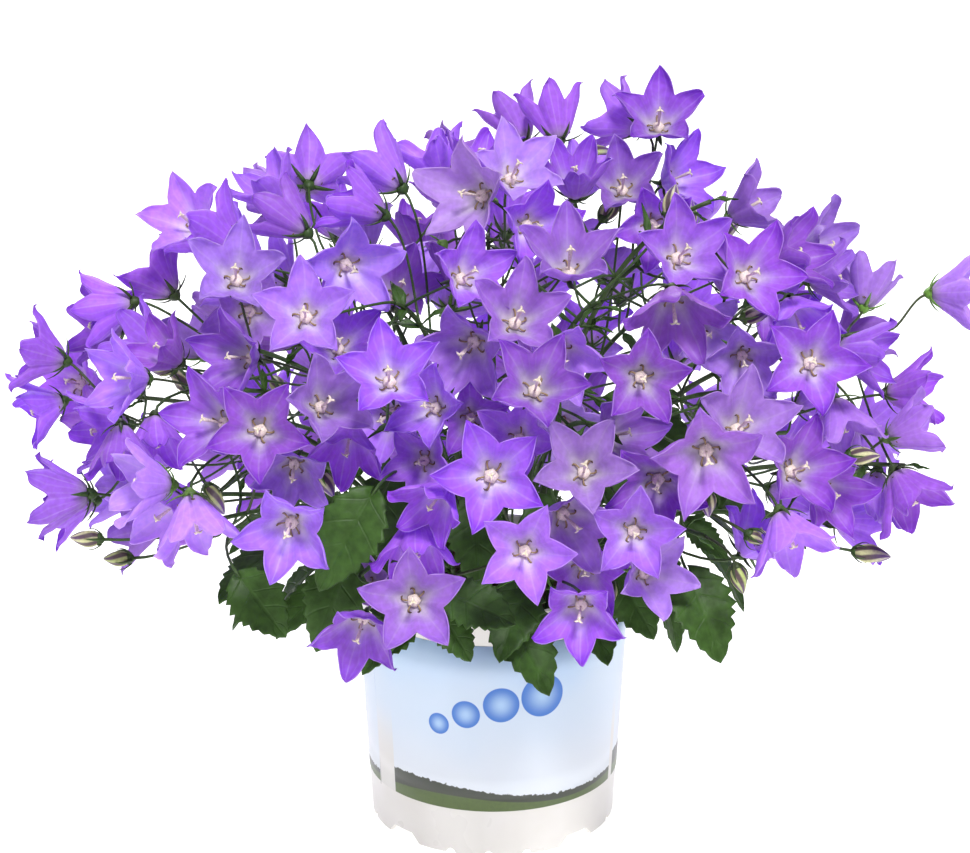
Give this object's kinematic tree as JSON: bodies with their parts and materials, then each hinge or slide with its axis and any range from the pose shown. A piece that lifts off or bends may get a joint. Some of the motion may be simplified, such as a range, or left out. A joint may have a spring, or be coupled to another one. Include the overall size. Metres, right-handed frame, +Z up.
{
  "type": "potted bellflower",
  "caption": "Potted bellflower in full bloom: a wide, low mound of five-lobed violet bells and toothed leaves on thin branching stems, in a filled round grower's pot with a ring of low feet.",
  "frame": {"origin": "Middle of the pot's foot ring on the surface it stands on", "axes": "+X to the right along the plant's widest spread, -Y towards the front, +Z up"},
  "size_m": [0.4313, 0.3474, 0.325],
  "materials": {
    "pot_plastic": "smooth off-white moulded plastic with a soft sheen",
    "potting_soil": "dark crumbly peat growing medium",
    "flowering_spray": "thin satin petals in violet with whitish throats, on thin dark green stems with green calyces",
    "leaves": "dark green leaves with a slight sheen and paler veins"
  },
  "bodies": {
    "root": {"pot": "pot_plastic", "soil": "potting_soil", "spray_01": "flowering_spray", "spray_02": "flowering_spray", "spray_03": "flowering_spray", "spray_04": "flowering_spray", "spray_05": "flowering_spray", "spray_06": "flowering_spray", "spray_07": "flowering_spray", "spray_08": "flowering_spray", "spray_09": "flowering_spray", "spray_10": "flowering_spray", "spray_11": "flowering_spray", "spray_12": "flowering_spray", "spray_13": "flowering_spray", "spray_14": "flowering_spray", "spray_15": "flowering_spray", "spray_16": "flowering_spray", "spray_17": "flowering_spray", "spray_18": "flowering_spray", "spray_19": "flowering_spray", "spray_20": "flowering_spray", "spray_21": "flowering_spray", "spray_22": "flowering_spray", "spray_23": "flowering_spray", "spray_24": "flowering_spray", "spray_25": "flowering_spray", "spray_26": "flowering_spray", "spray_27": "flowering_spray", "spray_28": "flowering_spray", "spray_29": "flowering_spray", "spray_30": "flowering_spray", "spray_31": "flowering_spray", "leaf_tuft_01": "leaves", "leaf_tuft_02": "leaves", "leaf_tuft_03": "leaves", "leaf_tuft_04": "leaves", "leaf_tuft_05": "leaves", "leaf_tuft_06": "leaves", "leaf_tuft_07": "leaves", "leaf_tuft_08": "leaves", "leaf_tuft_09": "leaves", "leaf_tuft_10": "leaves"}
  },
  "joints": []
}
